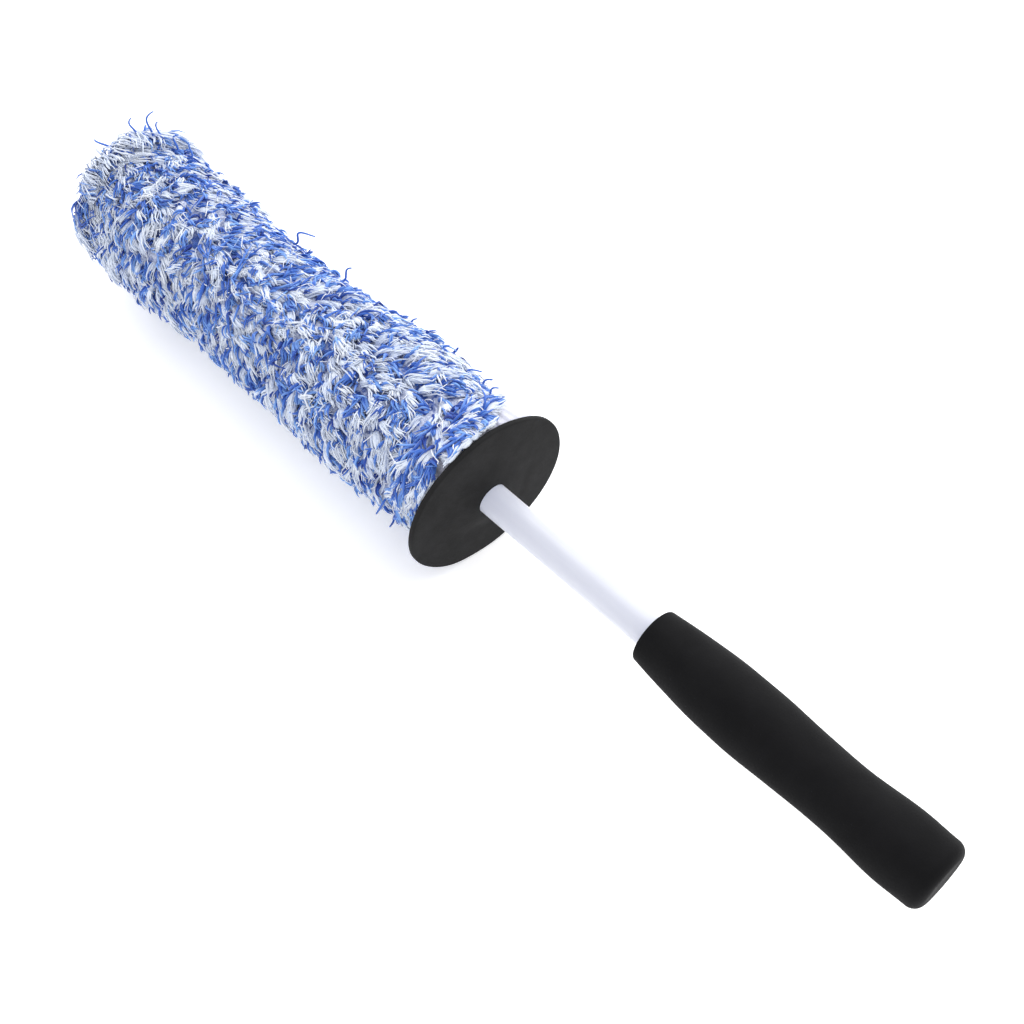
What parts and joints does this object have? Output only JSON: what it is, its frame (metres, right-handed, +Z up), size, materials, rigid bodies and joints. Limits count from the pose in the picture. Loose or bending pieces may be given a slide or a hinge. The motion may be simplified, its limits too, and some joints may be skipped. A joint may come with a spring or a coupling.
{
  "type": "wheel brush",
  "caption": "Wheel cleaning brush: plush washable cover on a foam core, straight plastic tube, shallow sliding splash guard and contoured foam grip.",
  "frame": {"origin": "on the surface that the brush lies on, under the middle of its length", "axes": "+X along the tube from the head towards the grip, +Z up, +Y completes the right-handed frame"},
  "size_m": [0.45, 0.074, 0.074],
  "materials": {
    "tube_plastic": "satin",
    "plug_plastic": "satin",
    "grip_foam": "matte",
    "core_foam": "matte",
    "collar_plastic": "satin",
    "pin_steel": "satin",
    "guard_foam": "matte",
    "backing_knit": "matte",
    "pile_yarn": "matte",
    "elastic": "matte",
    "sewing_thread": "matte"
  },
  "bodies": {
    "handle": {"shaft_tube": "tube_plastic", "rear_plug": "plug_plastic", "grip": "grip_foam", "tip_retainer": "plug_plastic", "foam_core": "core_foam", "tip_pad": "core_foam", "core_collar": "collar_plastic", "collar_pin": "pin_steel"},
    "guard": {"splash_guard": "guard_foam"},
    "cover": {"cover_backing": "backing_knit", "end_panel": "backing_knit", "cover_pile": "pile_yarn", "end_pile": "pile_yarn", "cover_hem": "backing_knit", "hem_elastic": "elastic", "hem_thread": "sewing_thread", "end_thread": "sewing_thread"}
  },
  "joints": [
    {"name": "guard_slide", "type": "slide", "parent": "handle", "child": "guard", "axis": [1, 0, 0], "range_m": [0, 0.083]},
    {"name": "cover_slide", "type": "slide", "parent": "handle", "child": "cover", "axis": [-1, 0, 0], "range_m": [0, 0.22]}
  ]
}
